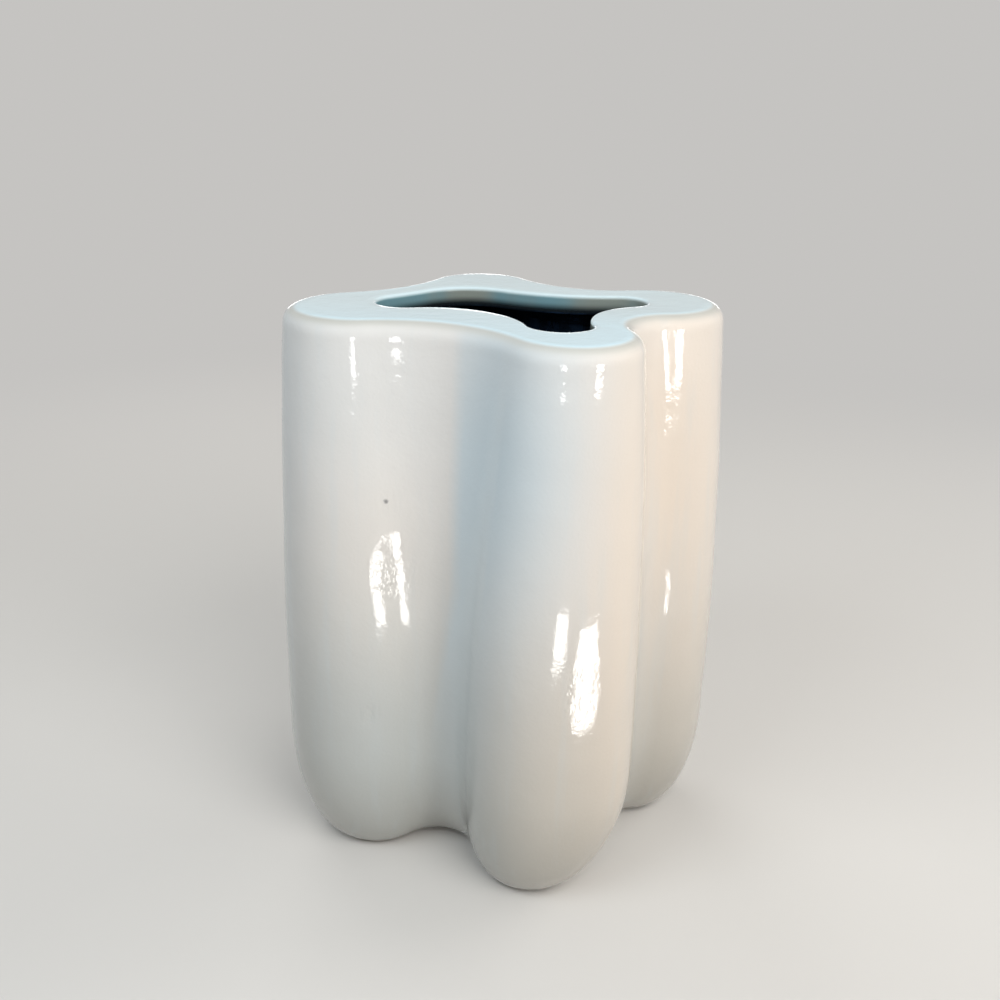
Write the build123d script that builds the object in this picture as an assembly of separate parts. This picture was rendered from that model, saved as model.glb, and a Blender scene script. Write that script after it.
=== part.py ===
from build123d import *
import math
import os
from collections import namedtuple

# A four-lobed ceramic vase, hand-built from clay slabs: a floor, four bent walls butted in the valleys between
# the lobes and a flat rim with a cross-shaped mouth, sealed with coils and glazed inside and out.
# Millimetres, +Z up, +X to the right, -Y to the front, origin under the middle of the vase on the floor plane.

# Overall height and the heights of its levels
height = 230.0
foot_rise = 50.0
floor_thickness = 9.0
rim_thickness = 6.4

# Lobes at the belly: reach from the middle, sideways offset and radius
left_reach = 90.5
left_offset = -9.5
left_radius = 35.0
front_reach = 74.0
front_offset = 18.8
front_radius = 34.0
right_reach = 90.3
right_offset = 11.0
right_radius = 32.0
back_reach = 74.0
back_offset = -12.0
back_radius = 28.0

# Left and front lobes at the foot, where they point to the front and to the left, and the tight valley between them
left_foot_reach = 89.5
left_foot_offset = -11.0
left_foot_radius = 36.0
front_foot_offset = 12.5
front_foot_radius = 32.0
front_left_foot_valley = 6.0

# Lobes at the rim, where the walls lean in and the front lobe has drifted to the right
left_rim_reach = 85.6
left_rim_offset = -5.0
left_rim_radius = 29.0
front_rim_reach = 66.6
front_rim_offset = 21.0
front_rim_radius = 25.5
right_rim_reach = 83.2
right_rim_offset = 14.5
right_rim_radius = 27.0
back_rim_reach = 69.6
back_rim_offset = -12.0
back_rim_radius = 23.5

# Radii of the valleys between the lobes, at the belly and at the rim
front_left_valley = 19.0
front_right_valley = 20.0
back_right_valley = 33.0
back_left_valley = 50.0
front_left_rim_valley = 49.0
front_right_rim_valley = 16.5
back_right_rim_valley = 37.5
back_left_rim_valley = 54.5

# Mouth lobes and the valleys between them
mouth_left_reach = 52.0
mouth_left_offset = 5.5
mouth_left_radius = 11.5
mouth_front_reach = 39.5
mouth_front_offset = 17.5
mouth_front_radius = 12.0
mouth_right_reach = 53.5
mouth_right_offset = 15.0
mouth_right_radius = 9.5
mouth_back_reach = 35.0
mouth_back_offset = -15.5
mouth_back_radius = 25.0
mouth_front_left_valley = 34.0
mouth_front_right_valley = 28.0
mouth_back_right_valley = 75.0
mouth_back_left_valley = 240.0

# Clay, coats and edges
wall_thickness = 7.0
glaze_thickness = 0.8
liner_thickness = 0.6
foot_inset = 19.0
dry_foot_height = 1.5
rim_edge_radius = 5.5
mouth_edge_radius = 1.5
coil_leg = 6.0
coil_edge = 1.0

# Heights of the sections that each form is lofted through, as shares of its foot and of its wall
foot_level_shares = (0, 0.08, 0.29, 0.62, 1)
wall_level_shares = (0, 0.25, 0.5, 0.75, 1)
foot_power = 2.0
lean_power = 2.0

rim_bottom = height - glaze_thickness - rim_thickness

Lobe = namedtuple("Lobe", "x y radius")
Arc = namedtuple("Arc", "x y radius start size")


def plan(left, front, right, back, valleys):
    """Four lobes, each given as (reach, offset, radius), and the valleys after them, counter-clockwise."""
    lobes = [
        Lobe(left[2] - left[0], left[1], left[2]),
        Lobe(front[1], front[2] - front[0], front[2]),
        Lobe(right[0] - right[2], right[1], right[2]),
        Lobe(back[1], back[0] - back[2], back[2]),
    ]
    return lobes, valleys


belly_plan = plan(
    (left_reach, left_offset, left_radius),
    (front_reach, front_offset, front_radius),
    (right_reach, right_offset, right_radius),
    (back_reach, back_offset, back_radius),
    (front_left_valley, front_right_valley, back_right_valley, back_left_valley),
)
foot_plan = plan(
    (left_foot_reach, left_foot_offset, left_foot_radius),
    (front_reach, front_foot_offset, front_foot_radius),
    (right_reach, right_offset, right_radius),
    (back_reach, back_offset, back_radius),
    (front_left_foot_valley, front_right_valley, back_right_valley, back_left_valley),
)
rim_plan = plan(
    (left_rim_reach, left_rim_offset, left_rim_radius),
    (front_rim_reach, front_rim_offset, front_rim_radius),
    (right_rim_reach, right_rim_offset, right_rim_radius),
    (back_rim_reach, back_rim_offset, back_rim_radius),
    (front_left_rim_valley, front_right_rim_valley, back_right_rim_valley, back_left_rim_valley),
)
mouth_plan = plan(
    (mouth_left_reach, mouth_left_offset, mouth_left_radius),
    (mouth_front_reach, mouth_front_offset, mouth_front_radius),
    (mouth_right_reach, mouth_right_offset, mouth_right_radius),
    (mouth_back_reach, mouth_back_offset, mouth_back_radius),
    (mouth_front_left_valley, mouth_front_right_valley, mouth_back_right_valley, mouth_back_left_valley),
)


def valley_centre(lobe, following, radius):
    """Centre of the valley arc that touches two neighbouring lobes from outside."""
    dx = following.x - lobe.x
    dy = following.y - lobe.y
    span = math.hypot(dx, dy)
    near = lobe.radius + radius
    far = following.radius + radius
    along = (near**2 - far**2 + span**2) / (2 * span)
    out = math.sqrt(near**2 - along**2)
    return lobe.x + (along * dx + out * dy) / span, lobe.y + (along * dy - out * dx) / span


def bearing(from_x, from_y, to_x, to_y):
    return math.degrees(math.atan2(to_y - from_y, to_x - from_x))


def plan_arcs(shape):
    """The eight tangent arcs of a plan: each lobe, then the valley that follows it."""
    lobes, valleys = shape
    count = len(lobes)
    centres = [valley_centre(lobes[i], lobes[(i + 1) % count], valleys[i]) for i in range(count)]
    arcs = []
    for i, lobe in enumerate(lobes):
        following = lobes[(i + 1) % count]
        start = bearing(lobe.x, lobe.y, *centres[i - 1])
        end = bearing(lobe.x, lobe.y, *centres[i])
        arcs.append(Arc(lobe.x, lobe.y, lobe.radius, start, (end - start) % 360))
        start = bearing(*centres[i], lobe.x, lobe.y)
        end = bearing(*centres[i], following.x, following.y)
        arcs.append(Arc(*centres[i], valleys[i], start, -((start - end) % 360)))
    return arcs


def outline(shape, inset, z):
    """A plan as a flat face at height z, moved in from its line by an inset."""
    edges = []
    for arc in plan_arcs(shape):
        radius = arc.radius - inset * math.copysign(1, arc.size)
        edges.append(CenterArc((arc.x, arc.y, z), radius, arc.start, arc.size))
    return Face(Wire(edges))


def between(low, high, share):
    return low + (high - low) * share


def plan_between(first, second, share):
    lobes = [
        Lobe(*(between(low, high, share) for low, high in zip(*pair)))
        for pair in zip(first[0], second[0])
    ]
    return lobes, [between(low, high, share) for low, high in zip(first[1], second[1])]


def plan_at(z):
    """The belly plan at the top of the rounded foot, easing towards the foot plan below and the rim plan above."""
    if z < foot_rise:
        return plan_between(belly_plan, foot_plan, (1 - z / foot_rise) ** foot_power)
    return plan_between(belly_plan, rim_plan, ((z - foot_rise) / (rim_bottom - foot_rise)) ** lean_power)


def foot_curve(z):
    """How far the rounded foot stands in from the belly at height z: a quarter of an ellipse."""
    drop_share = max(0, 1 - z / foot_rise)
    return foot_inset * (1 - math.sqrt(1 - drop_share**2))


def section(z, inset):
    return outline(plan_at(z), foot_curve(z) + inset, z)


def form(bottom, top, inset):
    """A solid between two heights: the rounded foot, and on it the wall, each lofted through its levels."""
    foot = loft([section(between(bottom, foot_rise, share), inset) for share in foot_level_shares])
    wall = loft([section(between(foot_rise, top, share), inset) for share in wall_level_shares])
    return foot + wall


def bevel(bottom, bottom_inset, top, top_inset):
    """A short straight-sided form between two sections."""
    return loft([section(bottom, bottom_inset), section(top, top_inset)], ruled=True)


def above(solid, z):
    return split(solid, Plane.XY.offset(z), keep=Keep.TOP)


def below(solid, z):
    return split(solid, Plane.XY.offset(z), keep=Keep.BOTTOM)


def rim_plate(inset, top, edge_radius, hole_radius):
    """A flat rim with its mouth, rounded round its top outer edge and round the mouth."""
    plate = extrude(outline(rim_plan, inset, rim_bottom), top - rim_bottom)
    plate -= extrude(outline(mouth_plan, -inset, rim_bottom), top - rim_bottom)
    face = plate.faces().sort_by(Axis.Z)[-1]
    plate = fillet(face.inner_wires()[0].edges(), hole_radius)
    face = plate.faces().sort_by(Axis.Z)[-1]
    return fillet(face.outer_wire().edges(), edge_radius)


# Nested forms of the vase: glaze surface, clay surface and the hollow inside the clay
hollow_inset = glaze_thickness + wall_thickness
glaze_form = form(0, rim_bottom, 0)
clay_form = form(0, rim_bottom, glaze_thickness)
hollow_form = form(floor_thickness, rim_bottom, hollow_inset)

parts = {}

# Floor slab, whose edge is the lower part of the rounded foot
parts["base_slab"] = below(clay_form, floor_thickness)

# Walls: one ring of clay, cut into four slabs along the middles of the valleys
wall_ring = above(clay_form, floor_thickness) - hollow_form
seam_reach = 2 * (left_reach + right_reach)
seams = []
for arc in plan_arcs(belly_plan)[1::2]:
    distance = math.hypot(arc.x, arc.y)
    seams.append((arc.x * seam_reach / distance, arc.y * seam_reach / distance))
for i, name in enumerate(("left_wall", "front_wall", "right_wall", "back_wall")):
    wedge = extrude(Face(Wire.make_polygon([(0, 0), seams[i - 1], seams[i]])), height)
    parts[name] = wall_ring & wedge

# Rim slab, which lies on the walls
parts["top_slab"] = rim_plate(
    glaze_thickness,
    height - glaze_thickness,
    rim_edge_radius - glaze_thickness,
    mouth_edge_radius - glaze_thickness,
)

# Coils pressed into the corners between walls and floor and between walls and rim
coil_inset = hollow_inset + coil_leg
edge_inset = hollow_inset + coil_edge
base_coil_top = floor_thickness + coil_leg
top_coil_bottom = rim_bottom - coil_leg
base_coil_room = bevel(floor_thickness, coil_inset, base_coil_top, edge_inset)
top_coil_room = bevel(top_coil_bottom, edge_inset, rim_bottom, coil_inset)
parts["base_coil"] = below(hollow_form, base_coil_top) - base_coil_room
parts["top_coil"] = above(hollow_form, top_coil_bottom) - top_coil_room

# Glaze outside: one coat on the walls down to the dry foot, one over the rim and into the mouth
parts["side_glaze"] = above(glaze_form, dry_foot_height) - clay_form
rim_cover = rim_plate(0, height, rim_edge_radius, mouth_edge_radius)
parts["top_glaze"] = rim_cover - parts["top_slab"]

# Liner: all that is left of the hollow between the clay, the coils and the room for water
water_bottom = floor_thickness + liner_thickness
water_top = rim_bottom - liner_thickness
lower_step = base_coil_top + liner_thickness
upper_step = top_coil_bottom - liner_thickness
water_room = form(lower_step, upper_step, hollow_inset + liner_thickness)
water_room += bevel(water_bottom, coil_inset + liner_thickness, lower_step, edge_inset + liner_thickness)
water_room += bevel(upper_step, edge_inset + liner_thickness, water_top, coil_inset + liner_thickness)
water_room += extrude(outline(mouth_plan, 0, water_top), liner_thickness)
parts["liner_glaze"] = hollow_form - parts["base_coil"] - parts["top_coil"] - water_room

os.makedirs("parts", exist_ok=True)
for name, part in parts.items():
    export_step(part, f"parts/{name}.step")
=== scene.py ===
import math
from collections import namedtuple

import bmesh
import bpy
from mathutils import Matrix, Vector, noise


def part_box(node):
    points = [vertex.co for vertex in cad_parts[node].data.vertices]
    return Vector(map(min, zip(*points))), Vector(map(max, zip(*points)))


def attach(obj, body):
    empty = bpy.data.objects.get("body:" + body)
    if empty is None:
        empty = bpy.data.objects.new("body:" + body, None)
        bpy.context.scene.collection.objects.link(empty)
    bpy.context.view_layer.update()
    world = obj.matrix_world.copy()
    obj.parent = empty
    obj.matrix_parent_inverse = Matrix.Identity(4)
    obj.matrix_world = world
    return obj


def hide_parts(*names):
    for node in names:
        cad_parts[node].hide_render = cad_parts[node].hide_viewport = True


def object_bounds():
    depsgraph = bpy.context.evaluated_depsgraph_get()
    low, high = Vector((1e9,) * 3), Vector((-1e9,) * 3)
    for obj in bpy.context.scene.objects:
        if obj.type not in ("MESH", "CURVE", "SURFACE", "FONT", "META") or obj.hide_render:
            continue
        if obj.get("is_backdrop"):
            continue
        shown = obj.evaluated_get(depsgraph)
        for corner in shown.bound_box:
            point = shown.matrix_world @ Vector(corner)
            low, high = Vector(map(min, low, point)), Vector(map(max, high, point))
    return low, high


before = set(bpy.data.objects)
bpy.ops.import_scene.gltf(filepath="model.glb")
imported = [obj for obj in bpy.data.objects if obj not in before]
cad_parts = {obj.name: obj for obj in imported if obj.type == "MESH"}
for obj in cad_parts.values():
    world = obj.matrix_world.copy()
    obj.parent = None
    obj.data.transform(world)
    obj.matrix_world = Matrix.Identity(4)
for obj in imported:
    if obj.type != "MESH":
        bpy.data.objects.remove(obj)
cad_low, cad_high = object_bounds()


# Camera
# Stands in front of the vase and a little above it, close enough to look down on the whole rim and into the mouth,
# with a slight tilt of the head to the left.
eye = Vector((-0.0025, -0.3951, 0.3135))
look_down = math.radians(22.49)
head_tilt = math.radians(1.37)
lens_mm = 37.55

camera_data = bpy.data.cameras.new("camera")
camera_data.lens = lens_mm
camera = bpy.data.objects.new("camera", camera_data)
camera.matrix_world = (
    Matrix.Translation(eye)
    @ Matrix.Rotation(math.pi / 2 - look_down, 4, "X")
    @ Matrix.Rotation(head_tilt, 4, "Z")
)
bpy.context.scene.collection.objects.link(camera)
bpy.context.scene.camera = camera
bpy.context.scene.view_settings.view_transform = "Standard"


# Studio floor
# A matte pale sheet that lies under the vase and sweeps up behind it, so that no line divides floor from backdrop.
# Its profile is one line, spun round the sweep and pulled out sideways.
floor_front = -3.0
sweep_start = 1.5
sweep_radius = 0.8
sweep_steps = 16
backdrop_height = 2.2
floor_half_width = 3.5
fade_start = 0.25
fade_end = 0.9
floor_colour = (0.66, 0.64, 0.61, 1)
floor_bounce = (0.27, 0.255, 0.23, 1)
backdrop_colour = (0.56, 0.55, 0.535, 1)
black = (0, 0, 0, 1)


class Shade:
    """A shader value whose sums and products add Math nodes to its finish."""

    def __init__(self, finish, socket):
        self.finish = finish
        self.socket = socket

    def math(self, operation, first, second):
        return self.finish.node("ShaderNodeMath", {"operation": operation}, {0: first, 1: second})

    def __add__(self, other):
        return self.math("ADD", self, other)

    def __mul__(self, other):
        return self.math("MULTIPLY", self, other)

    __radd__ = __add__
    __rmul__ = __mul__


class Finish:
    """The nodes of a material or surround, made one by one round its shader."""

    def __init__(self, owner, shader="Principled BSDF"):
        owner.use_nodes = True
        self.owner = owner
        self.tree = owner.node_tree
        self.shader = self.tree.nodes[shader]
        self.place = self.node("ShaderNodeTexCoord", {}, {}, "Object")

    def node(self, kind, settings, sockets, output=0):
        made = self.tree.nodes.new(kind)
        for name, value in settings.items():
            setattr(made, name, value)
        for name, value in sockets.items():
            self.feed(made.inputs[name], value)
        return Shade(self, made.outputs[output])

    def feed(self, socket, value):
        if isinstance(value, Shade):
            self.tree.links.new(value.socket, socket)
        else:
            socket.default_value = value

    def give(self, **values):
        """Sets the shader's own sockets, named as on the shader with _ for spaces."""
        for name, value in values.items():
            self.feed(self.shader.inputs[name.replace("_", " ")], value)

    def seen(self):
        """1 for what the eye meets straight, in gloss or through glass, 0 for light on its way."""
        rays = ("Is Camera Ray", "Is Glossy Ray", "Is Transmission Ray")
        straight, gloss, glass = (self.node("ShaderNodeLightPath", {}, {}, ray) for ray in rays)
        return straight + gloss + glass

    def along(self, axis):
        return self.node("ShaderNodeSeparateXYZ", {}, {"Vector": self.place}, axis)

    def step(self, value, low, high):
        """A mask that rises softly from 0 to 1 as the value goes from low to high."""
        return self.node(
            "ShaderNodeMapRange",
            {"interpolation_type": "SMOOTHSTEP"},
            {"Value": value, "From Min": low, "From Max": high},
        )

    def mix(self, mask, first, second):
        """The first colour where the mask is 0, the second where it is 1."""
        return self.node("ShaderNodeMix", {"data_type": "RGBA"}, {0: mask, 6: first, 7: second}, 2)


sheet = bmesh.new()
corner = sheet.verts.new((-floor_half_width, floor_front, 0))
edge = bmesh.ops.extrude_vert_indiv(sheet, verts=[corner])
bmesh.ops.translate(sheet, verts=edge["verts"], vec=(0, sweep_start - floor_front, 0))
sweep = bmesh.ops.spin(
    sheet,
    geom=edge["verts"],
    cent=(-floor_half_width, sweep_start, sweep_radius),
    axis=(1, 0, 0),
    angle=math.pi / 2,
    steps=sweep_steps,
)
sweep_end = [v for v in sweep["geom_last"] if isinstance(v, bmesh.types.BMVert)]
edge = bmesh.ops.extrude_vert_indiv(sheet, verts=sweep_end)
bmesh.ops.translate(sheet, verts=edge["verts"], vec=(0, 0, backdrop_height))
side = bmesh.ops.extrude_edge_only(sheet, edges=sheet.edges[:])
bmesh.ops.translate(
    sheet,
    verts=[v for v in side["geom"] if isinstance(v, bmesh.types.BMVert)],
    vec=(2 * floor_half_width, 0, 0),
)
bmesh.ops.recalc_face_normals(sheet, faces=sheet.faces[:])
floor_mesh = bpy.data.meshes.new("floor")
sheet.to_mesh(floor_mesh)
sheet.free()
floor_mesh.shade_smooth()
floor_paint = Finish(bpy.data.materials.new("matte pale floor"))
seen = floor_paint.seen()
away = floor_paint.node("ShaderNodeVectorMath", {"operation": "LENGTH"}, {0: floor_paint.place}, "Value")
far_away = seen * floor_paint.step(away, fade_start, fade_end)
floor_paint.give(
    Base_Color=floor_paint.mix(far_away, floor_paint.mix(seen, floor_bounce, floor_colour), black),
    Roughness=0.9,
    Specular_IOR_Level=0,
    Emission_Color=floor_paint.mix(far_away, black, backdrop_colour),
    Emission_Strength=1,
)
floor_mesh.materials.append(floor_paint.owner)
floor = bpy.data.objects.new("floor", floor_mesh)
bpy.context.scene.collection.objects.link(floor)
floor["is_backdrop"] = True


# Studio light
# A soft box in front, a cool panel high on the left, two panels behind and an even pale surround. Two windows, two
# low cards and a strip behind give the gloss of the glaze something to show.
aim = Vector((0, 0, 0.12))
surround_light = (0.285, 0.294, 0.30, 1)


def panel(name, place, width, tall, watts, tint, lights_vase=True, shows_in_gloss=True):
    lamp = bpy.data.lights.new(name, "AREA")
    lamp.shape = "RECTANGLE"
    lamp.size = width
    lamp.size_y = tall
    lamp.energy = watts
    lamp.color = tint
    holder = bpy.data.objects.new(name, lamp)
    turn = (aim - Vector(place)).to_track_quat("-Z", "Y")
    holder.matrix_world = Matrix.Translation(place) @ turn.to_matrix().to_4x4()
    holder.visible_camera = False
    holder.visible_diffuse = lights_vase
    holder.visible_glossy = shows_in_gloss
    bpy.context.scene.collection.objects.link(holder)


panel("soft box", (0.28, -0.46, 0.60), 0.5, 0.45, 3.2, (1, 0.985, 0.97), shows_in_gloss=False)
panel("right window", (0.77, -0.92, 0.22), 0.20, 0.28, 2.4, (1, 0.96, 0.91))
panel("front window", (-0.17, -1.12, 0.24), 0.09, 0.24, 0.7, (1, 0.98, 0.96))
panel("right card", (0.13, -0.175, 0.030), 0.07, 0.055, 0.12, (1, 0.97, 0.93), lights_vase=False)
panel("left card", (0.043, -0.267, 0.034), 0.06, 0.040, 0.07, (1, 0.97, 0.93), lights_vase=False)
panel("left panel", (-0.38, -0.36, 0.62), 0.35, 0.35, 1.8, (0.86, 0.94, 1), shows_in_gloss=False)
panel("back panel", (0.95, 0.45, 0.42), 0.8, 0.7, 5.5, (1, 0.985, 0.96), shows_in_gloss=False)
panel("rear panel", (-0.45, 0.85, 0.62), 0.8, 0.6, 4.5, (1, 0.99, 0.975), shows_in_gloss=False)
panel("back strip", (0, 0.80, 0.235), 0.8, 0.06, 0.36, (1, 1, 1), lights_vase=False)

surround = Finish(bpy.data.worlds.new("surround"), "Background")
surround.give(Color=surround.mix(surround.seen(), surround_light, backdrop_colour), Strength=1)
bpy.context.scene.world = surround.owner


# Clay slabs and coils
# The floor, the four bent walls, the rim and the two coils in the inner corners: buff stoneware, rolled out, cut and
# joined with slip. Only the underside and the lowest edge stay bare of glaze.
clay_nodes = (
    "base_slab",
    "left_wall",
    "front_wall",
    "right_wall",
    "back_wall",
    "top_slab",
    "base_coil",
    "top_coil",
)
clay_light = (0.62, 0.54, 0.44, 1)
clay_dark = (0.50, 0.42, 0.33, 1)
iron_fleck = (0.20, 0.13, 0.08, 1)
mottle_size = 0.018
fleck_size = 0.0022
grog_size = 0.0012
grog_depth = 0.00025


def grain(finish, size, detail=2, stretch=1):
    """Noise with grains of about this size, drawn out along the height by a stretch."""
    spread = finish.node(
        "ShaderNodeMapping",
        {"vector_type": "POINT"},
        {"Vector": finish.place, "Scale": (1 / size, 1 / size, 1 / (size * stretch))},
    )
    return finish.node("ShaderNodeTexNoise", {}, {"Vector": spread, "Scale": 1, "Detail": detail})


def bump(finish, relief, depth):
    """Relief from 0 to 1 as a bump of this depth."""
    return finish.node("ShaderNodeBump", {}, {"Height": relief, "Distance": depth}, "Normal")


bare_clay = Finish(bpy.data.materials.new("bare clay"))
mottle = bare_clay.step(grain(bare_clay, mottle_size, detail=4), 0.35, 0.65)
flecks = bare_clay.step(grain(bare_clay, fleck_size, detail=1), 0.70, 0.76)
grog = grain(bare_clay, grog_size, detail=3)
bare_clay.give(
    Base_Color=bare_clay.mix(flecks * 0.7, bare_clay.mix(mottle, clay_light, clay_dark), iron_fleck),
    Roughness=0.74 + 0.16 * grog,
    Normal=bump(bare_clay, grog, grog_depth),
)
for name in clay_nodes:
    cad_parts[name].data.materials.clear()
    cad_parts[name].data.materials.append(bare_clay.owner)


# Liner
# The coat inside, poured in and swirled round: a glossy glaze so dark that the mouth looks black, with a trace of
# blue where it lies thick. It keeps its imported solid.
liner_dark = (0.003, 0.005, 0.008, 1)
liner_blue = (0.010, 0.022, 0.044, 1)
run_width = 0.012
sheen_size = 0.02
liner_peel_size = 0.004
liner_peel_depth = 0.0002

dark_glaze = Finish(bpy.data.materials.new("dark liner glaze"))
runs = dark_glaze.step(grain(dark_glaze, run_width, detail=3, stretch=4), 0.40, 0.70)
dark_glaze.give(
    Base_Color=dark_glaze.mix(runs, liner_dark, liner_blue),
    Roughness=0.14 + 0.14 * grain(dark_glaze, sheen_size),
    Normal=bump(dark_glaze, grain(dark_glaze, liner_peel_size), liner_peel_depth),
)
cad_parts["liner_glaze"].data.materials.clear()
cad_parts["liner_glaze"].data.materials.append(dark_glaze.owner)


# Outer glaze
# Two coats of a pale gloss glaze: a warm white one on the walls, down to just above the foot, and a thicker aqua one
# over the rim and into the mouth. The clay under them was pressed and paddled by hand, so they lie uneven. Their
# colours also carry painted light and shade: cool and warm light on lobes and rim, shade at the foot and mouth.
height = cad_high.z
dry_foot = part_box("side_glaze")[0].z
rim_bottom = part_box("top_glaze")[0].z
foot_rise = 0.050
foot_inset = 0.019
foot_power = 2.0
lean_power = 2.0
rim_edge_radius = 0.0055
mouth_edge_radius = 0.0015
rim_dip = 0.0004
coat_thickness = 0.00025

# Lobes left, front, right and back, each with its reach from the middle, its sideways offset and its radius, and the
# radii of the valleys that follow them
belly_lobes = (
    (0.0905, -0.0095, 0.035),
    (0.074, 0.0188, 0.034),
    (0.0903, 0.011, 0.032),
    (0.074, -0.012, 0.028),
)
belly_valleys = (0.019, 0.020, 0.033, 0.050)
foot_lobes = (
    (0.0895, -0.011, 0.036),
    (0.074, 0.0125, 0.032),
    (0.0903, 0.011, 0.032),
    (0.074, -0.012, 0.028),
)
foot_valleys = (0.006, 0.020, 0.033, 0.050)
rim_lobes = (
    (0.0856, -0.005, 0.029),
    (0.0666, 0.021, 0.0255),
    (0.0832, 0.0145, 0.027),
    (0.0696, -0.012, 0.0235),
)
rim_valleys = (0.049, 0.0165, 0.0375, 0.0545)
mouth_lobes = (
    (0.052, 0.0055, 0.0115),
    (0.0395, 0.0175, 0.012),
    (0.0535, 0.015, 0.0095),
    (0.035, -0.0155, 0.025),
)
mouth_valleys = (0.034, 0.028, 0.075, 0.240)
lobe_sides = (Vector((-1, 0)), Vector((0, -1)), Vector((1, 0)), Vector((0, 1)))

# Points along each arc and rings up the vase
lobe_steps = 60
valley_steps = 24
foot_rings = 22
wall_rings = 100
edge_rings = 7
top_rings = 8
mouth_edge_rings = 5
mouth_wall_rings = 4


def plan(lobes, valleys):
    """Rows of (x, y, radius, valley radius), one for each lobe."""
    rows = []
    for (reach, offset, radius), valley, side in zip(lobes, valleys, lobe_sides):
        centre = side * (reach - radius) + offset * Vector((abs(side.y), abs(side.x)))
        rows.append((centre.x, centre.y, radius, valley))
    return rows


def blend(low, high, share):
    return [tuple(a + (b - a) * share for a, b in zip(*rows)) for rows in zip(low, high)]


def grown(rows, by):
    return [(x, y, radius + by, valley - by) for x, y, radius, valley in rows]


def valley_centres(rows):
    """Centres of the arcs that touch each lobe and the next one from outside."""
    centres = []
    for i, (x, y, radius, valley) in enumerate(rows):
        next_x, next_y, next_radius, _ = rows[(i + 1) % len(rows)]
        way = Vector((next_x - x, next_y - y))
        near = radius + valley
        along = (near**2 - (next_radius + valley) ** 2 + way.length_squared) / (2 * way.length)
        out = math.sqrt(near**2 - along**2)
        way.normalize()
        centres.append(Vector((x, y)) + along * way + out * Vector((way.y, -way.x)))
    return centres


def bearing(way):
    return math.atan2(way.y, way.x)


def ring(mesh, rows, z):
    """Adds a closed line round a plan, spun arc by arc: each lobe, then the valley after it."""
    hollows = valley_centres(rows)
    middles = [Vector((x, y)) for x, y, radius, valley in rows]
    start = middles[0] + rows[0][2] * (hollows[-1] - middles[0]).normalized()
    line = bmesh.new()
    first = tip = line.verts.new((start.x, start.y, z))
    for i, middle in enumerate(middles):
        following = middles[(i + 1) % len(middles)]
        lobe_turn = (bearing(hollows[i] - middle) - bearing(hollows[i - 1] - middle)) % math.tau
        valley_turn = -((bearing(middle - hollows[i]) - bearing(following - hollows[i])) % math.tau)
        for centre, turn, steps in ((middle, lobe_turn, lobe_steps), (hollows[i], valley_turn, valley_steps)):
            spun = bmesh.ops.spin(
                line, geom=[tip], cent=(centre.x, centre.y, z), axis=(0, 0, 1), angle=turn, steps=steps
            )
            tip = next(v for v in spun["geom_last"] if isinstance(v, bmesh.types.BMVert))
    bmesh.ops.weld_verts(line, targetmap={tip: first})
    line.to_mesh(line_mesh)
    line.free()
    before = set(mesh.edges)
    mesh.from_mesh(line_mesh)
    return [e for e in mesh.edges if e not in before]


belly = plan(belly_lobes, belly_valleys)
foot = plan(foot_lobes, foot_valleys)
rim = plan(rim_lobes, rim_valleys)
mouth = plan(mouth_lobes, mouth_valleys)


def wall_plan(z):
    """The belly plan at the rounded foot's top, easing to the foot plan below and the rim plan above."""
    lean = min(1, max(0, (z - foot_rise) / (rim_bottom - foot_rise))) ** lean_power
    drop = max(0, 1 - z / foot_rise)
    rows = blend(blend(belly, rim, lean), foot, drop**foot_power)
    return grown(rows, -foot_inset * (1 - math.sqrt(1 - drop**2)))


def shares(count):
    return [(i + 1) / count for i in range(count)]


# Levels from the dry foot up the wall, round the rim's edge, across the top and down into the mouth. Each has its
# plan, its height, how freely the coat follows the uneven clay there, and its shares of rim and of mouth.
Level = namedtuple("Level", "rows z loose rim mouth")
rim_loose = 0.5
levels = [Level(wall_plan(dry_foot), dry_foot, 0, 0, 0)]
foot_start = math.asin(1 - dry_foot / foot_rise)
for share in shares(foot_rings):
    z = foot_rise * (1 - math.sin(foot_start * (1 - share)))
    levels.append(Level(wall_plan(z), z, share, 0, 0))
for share in shares(wall_rings):
    z = foot_rise + (rim_bottom - foot_rise) * share
    levels.append(Level(wall_plan(z), z, 1, 0, 0))
edge_bottom = height - rim_edge_radius
levels.append(Level(rim, edge_bottom, 1, 0, 0))
for share in shares(edge_rings):
    turn = share * math.pi / 2
    z = edge_bottom + rim_edge_radius * math.sin(turn)
    rows = grown(rim, rim_edge_radius * (math.cos(turn) - 1))
    levels.append(Level(rows, z, 1 - (1 - rim_loose) * share, share, 0))
top_outer = grown(rim, -rim_edge_radius)
top_inner = grown(mouth, mouth_edge_radius)
for share in shares(top_rings):
    lobes, valleys = blend(top_outer, top_inner, share), blend(top_outer, top_inner, share**2)
    rows = [(*lobe[:3], valley[3]) for lobe, valley in zip(lobes, valleys)]
    levels.append(Level(rows, height - rim_dip * share, rim_loose, 1, 0))
mouth_edge_bottom = height - rim_dip - mouth_edge_radius
for share in shares(mouth_edge_rings):
    turn = share * math.pi / 2
    z = mouth_edge_bottom + mouth_edge_radius * math.cos(turn)
    rows = grown(mouth, mouth_edge_radius * (1 - math.sin(turn)))
    levels.append(Level(rows, z, rim_loose * (1 - share), 1, share))
for share in shares(mouth_wall_rings):
    z = mouth_edge_bottom + (rim_bottom - mouth_edge_bottom) * share
    levels.append(Level(mouth, z, 0, 1, 1 + share))

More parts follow.
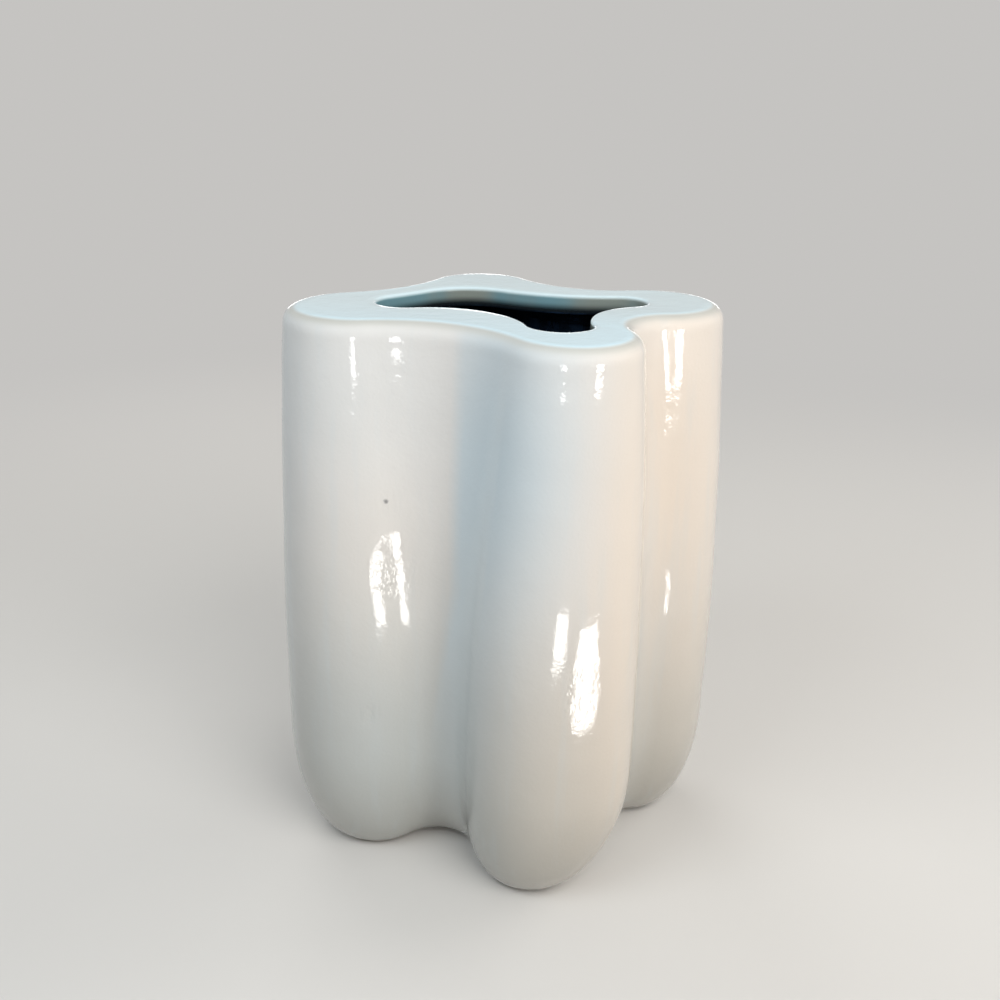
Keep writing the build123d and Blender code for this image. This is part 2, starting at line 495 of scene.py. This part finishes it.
line_mesh = bpy.data.meshes.new("line")
coat = bmesh.new()
layers = ("blue", "peach", "thin_and_shaded", "aqua", "deep", "wrinkled")
blue, peach, thin_and_shaded, aqua, deep, wrinkled = (coat.verts.layers.float.new(name) for name in layers)
rings = [ring(coat, level.rows, level.z) for level in levels]
bpy.data.meshes.remove(line_mesh)
for low, high in zip(rings, rings[1:]):
    bmesh.ops.bridge_loops(coat, edges=low + high)
bmesh.ops.recalc_face_normals(coat, faces=coat.faces[:])
coat.normal_update()

# Shallow dents left by thumb and paddle: the lobe, the bearing on it in degrees, the height, half width, half height
# and depth
hand_marks = (
    (0, -66, 0.1350, 0.0090, 0.0140, 0.0006),
    (0, -70, 0.1620, 0.0030, 0.0045, 0.0005),
    (0, -85, 0.0740, 0.0030, 0.0050, 0.0005),
    (1, -72, 0.1050, 0.0080, 0.0160, 0.0005),
    (2, -88, 0.1200, 0.0080, 0.0180, 0.0006),
    (2, -93, 0.1900, 0.0060, 0.0100, 0.0004),
)
# Washes of blue-grey, partly glaze that pooled thick and partly painted cool light and shade on the lobes' sides and
# lower parts: the lobe, the bearing, the height, half width, half height and strength
blue_pool_and_cool_shade_washes = (
    (0, -95, 0.205, 0.030, 0.030, 0.22),
    (0, -80, 0.060, 0.030, 0.050, 0.30),
    (0, -178, 0.150, 0.011, 0.100, 0.75),
    (0, 150, 0.170, 0.014, 0.060, 0.50),
    (1, 8, 0.140, 0.006, 0.120, 0.25),
    (2, 115, 0.130, 0.014, 0.100, 0.50),
    (2, 75, 0.185, 0.016, 0.030, 0.40),
    (3, 195, 0.130, 0.016, 0.100, 0.55),
    (3, 110, 0.180, 0.018, 0.035, 0.45),
)
# These lie in the front left valley, to the right of a line that slants outwards below a height: glaze pooled in the
# valley, with painted cool light on the front lobe's left flank
valley_line = -0.022
valley_slant = 0.17
valley_slant_top = 0.13
valley_softness = 0.006
valley_pool_and_cool_light_washes = (
    (1, -168, 0.140, 0.015, 0.090, 0.75),
    (1, -160, 0.185, 0.018, 0.045, 0.60),
    (1, -130, 0.190, 0.015, 0.028, 0.60),
)
# Peach washes in the same columns: partly glaze run thinner over the lobes, partly painted warm light on them
peach_and_warm_light_washes = (
    (1, -45, 0.150, 0.012, 0.070, 0.75),
    (1, -20, 0.110, 0.012, 0.080, 0.50),
    (2, -85, 0.170, 0.018, 0.055, 0.85),
    (2, -40, 0.150, 0.016, 0.080, 0.60),
    (1, -80, 0.070, 0.020, 0.040, 0.30),
    (0, -75, 0.140, 0.016, 0.040, 0.25),
    (0, 120, 0.140, 0.018, 0.060, 0.35),
    (3, 60, 0.120, 0.018, 0.060, 0.50),
)
# The slow unevenness of the paddled clay, the coat's swell, and the beige band where it turns over the rim: the
# glaze breaks thinner there, and the band is darkened as painted shade on the rounding
paddle_width = 0.042
paddle_depth = 0.00040
ripple_width = 0.015
ripple_depth = 0.00012
mean_swell = 0.0005
edge_run = 0.010
edge_passes = 4
thin_place = 0.70
thin_reach = 0.25
Mark = namedtuple("Mark", "middle z half_width half_height depth")


def on_lobe(rows, lobe, degrees):
    """The point of a plan at a bearing from the centre of one lobe."""
    x, y, radius, _ = rows[lobe]
    turn = math.radians(degrees)
    return Vector((x, y)) + radius * Vector((math.cos(turn), math.sin(turn)))


marks = [Mark(on_lobe(wall_plan(z), lobe, degrees), z, *sizes) for lobe, degrees, z, *sizes in hand_marks]


def spots(level, washes):
    """Where washes lie on a level, how far they reach and how strong they are there."""
    found = []
    for lobe, degrees, z, half_width, half_height, strength in washes:
        here = strength * math.exp(-(((level.z - z) / half_height) ** 2) / 2)
        found.append((on_lobe(level.rows, lobe, degrees), half_width, here))
    return found


def washed(place, found):
    clear = 1
    for middle, half_width, strength in found:
        clear *= 1 - strength * math.exp(-((place.xy - middle).length_squared / half_width**2) / 2)
    return 1 - clear


for level, line in zip(levels, rings):
    blue_spots = spots(level, blue_pool_and_cool_shade_washes)
    valley_spots = spots(level, valley_pool_and_cool_light_washes)
    valley_start = valley_line - valley_slant * max(0, valley_slant_top - level.z)
    peach_spots = spots(level, peach_and_warm_light_washes)
    near_marks = [mark for mark in marks if abs(level.z - mark.z) < 2 * mark.half_height]
    for vert in {v for e in line for v in e.verts}:
        in_valley = min(1, max(0, (vert.co.x - valley_start) / valley_softness))
        # Blue holds pooled glaze with painted cool light and shade, peach glaze run thinner with painted warm light
        vert[blue] = max(washed(vert.co, blue_spots), in_valley * washed(vert.co, valley_spots))
        vert[peach] = washed(vert.co, peach_spots)
        vert[thin_and_shaded] = math.exp(-(((level.rim - thin_place) / thin_reach) ** 2))
        vert[aqua] = level.rim
        vert[deep] = level.mouth
        out = mean_swell + paddle_depth * noise.noise(vert.co / paddle_width)
        out += ripple_depth * noise.noise(vert.co / ripple_width)
        for mark in near_marks:
            off = (vert.co.xy - mark.middle).length / mark.half_width
            rise = (vert.co.z - mark.z) / mark.half_height
            within = math.exp(-((off**2 + rise**2) ** 2))
            vert[wrinkled] = max(vert[wrinkled], within)
            out -= within * mark.depth
        vert.co += vert.normal * level.loose * out
for _ in range(edge_passes):
    turning = [v for v in coat.verts if v.co.z > rim_bottom - edge_run and v[aqua] < 1]
    bmesh.ops.smooth_vert(
        coat, verts=turning, factor=0.5, use_axis_x=True, use_axis_y=True, use_axis_z=True
    )

pale_glaze = Finish(bpy.data.materials.new("pale gloss glaze"))


def painted(layer):
    return pale_glaze.node("ShaderNodeAttribute", {"attribute_name": layer}, {}, "Fac")


# Glaze colours. Several also carry painted light and shade, marked where they are mixed below
warm_white = (0.71, 0.685, 0.655, 1)
warm_peach_and_light = (0.81, 0.69, 0.57, 1)
blue_grey_and_cool_shade = (0.54, 0.64, 0.69, 1)
lower_shade_beige = (0.43, 0.42, 0.375, 1)
rim_aqua = (0.66, 0.79, 0.82, 1)
front_rim_light_aqua = (0.64, 0.83, 0.90, 1)
thin_edge_shade_beige = (0.50, 0.50, 0.45, 1)
mouth_shade_teal = (0.17, 0.31, 0.35, 1)
mouth_shade_olive = (0.25, 0.28, 0.25, 1)
mouth_dark = (0.010, 0.014, 0.017, 1)
pit_dark = (0.10, 0.10, 0.11, 1)
lower_top = 0.18
lower_bottom = 0.03
lower_strength = 0.88
front_rim_start = 0.02
front_rim_end = -0.05
drift_size = 0.045
streak_width = 0.006
peel_size = 0.0070
fine_peel_size = 0.0014
wrinkle_size = 0.0030
gloss_size = 0.03
relief_depth = 0.00018
# Pinholes that opened in the firing: the lobe, the bearing, the height and the size
pinholes = ((0, -70, 0.1640, 0.0009), (0, -30, 0.1050, 0.0006))
pinhole_grain = 0.0015
pinhole_rag = 0.0012
drift = grain(pale_glaze, drift_size, detail=3, stretch=2)
streaks = grain(pale_glaze, streak_width, detail=2, stretch=14)
# Darker towards the foot: painted shade, standing in for the light that falls off down the walls
lower_shade = pale_glaze.step(pale_glaze.along("Z"), lower_top, lower_bottom) * lower_strength
walls = pale_glaze.mix(lower_shade, warm_white, lower_shade_beige)
# Peach: glaze run thinner over the lobes, with painted warm light
walls = pale_glaze.mix(painted("peach") * (0.6 + 0.6 * drift), walls, warm_peach_and_light)
# Blue-grey: glaze pooled thick, with painted cool light and shade
walls = pale_glaze.mix(painted("blue") * (0.7 + 0.5 * drift), walls, blue_grey_and_cool_shade)
walls = pale_glaze.mix(pale_glaze.step(streaks, 0.5, 0.75) * 0.12, walls, blue_grey_and_cool_shade)
for lobe, degrees, z, size in pinholes:
    place = on_lobe(wall_plan(z), lobe, degrees).to_3d()
    place.z = z
    away = pale_glaze.node(
        "ShaderNodeVectorMath", {"operation": "DISTANCE"}, {0: pale_glaze.place, 1: place}, "Value"
    )
    ragged = away + pinhole_rag * grain(pale_glaze, pinhole_grain)
    walls = pale_glaze.mix(pale_glaze.step(ragged, 2.0 * size, 0.9 * size) * 0.7, walls, pit_dark)
# The band at the rim's edge: glaze broken thinner, darkened as painted shade on the rounding
colour = pale_glaze.mix(painted("thin_and_shaded") * (0.55 + 0.5 * drift), walls, thin_edge_shade_beige)
# The front of the rim takes a bluer aqua than the back: painted light, for how the light falls on the front
front = pale_glaze.step(pale_glaze.along("Y"), front_rim_start, front_rim_end)
rim_tone = pale_glaze.mix(front, rim_aqua, front_rim_light_aqua)
# The aqua of the rim: thicker glaze, partly painted cool light on the top
colour = pale_glaze.mix(pale_glaze.step(painted("aqua"), 0.72, 1.0), colour, rim_tone)
# Down into the mouth the aqua darkens to teal and olive as painted shade of the mouth, then to the near-black glaze
inside = pale_glaze.mix(pale_glaze.step(drift, 0.4, 0.6), mouth_shade_teal, mouth_shade_olive)
colour = pale_glaze.mix(pale_glaze.step(painted("deep"), 0.35, 1.0), colour, inside)
colour = pale_glaze.mix(pale_glaze.step(painted("deep"), 1.25, 1.9), colour, mouth_dark)
orange_peel = 0.8 * grain(pale_glaze, peel_size, detail=1)
orange_peel += 0.3 * grain(pale_glaze, fine_peel_size, detail=1)
wrinkles = painted("wrinkled") * grain(pale_glaze, wrinkle_size, detail=2, stretch=2)
pale_glaze.give(
    Base_Color=colour,
    Roughness=0.04 + 0.08 * grain(pale_glaze, gloss_size),
    Normal=bump(pale_glaze, orange_peel + 2.5 * wrinkles, relief_depth),
    IOR=1.55,
    Coat_Weight=0.5,
    Coat_Roughness=0.04,
)


def coat_piece(name, wanted, node):
    """One coat: the wanted faces of the whole skin, thickened inwards."""
    mesh = coat.copy()
    bmesh.ops.delete(mesh, geom=[f for f in mesh.faces if not wanted(f)], context="FACES")
    for edge in mesh.edges:
        edge.smooth = not edge.is_boundary
    data = bpy.data.meshes.new(name)
    mesh.to_mesh(data)
    mesh.free()
    data.shade_smooth()
    data.materials.append(pale_glaze.owner)
    piece = bpy.data.objects.new(name, data)
    bpy.context.scene.collection.objects.link(piece)
    thickness = piece.modifiers.new("thickness", "SOLIDIFY")
    thickness.thickness = coat_thickness
    thickness.offset = -1
    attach(piece, "root")
    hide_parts(node)


coat_piece("wall_glaze", lambda face: face.calc_center_median().z < rim_bottom, "side_glaze")
coat_piece("rim_glaze", lambda face: face.calc_center_median().z > rim_bottom, "top_glaze")
coat.free()

low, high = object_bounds()
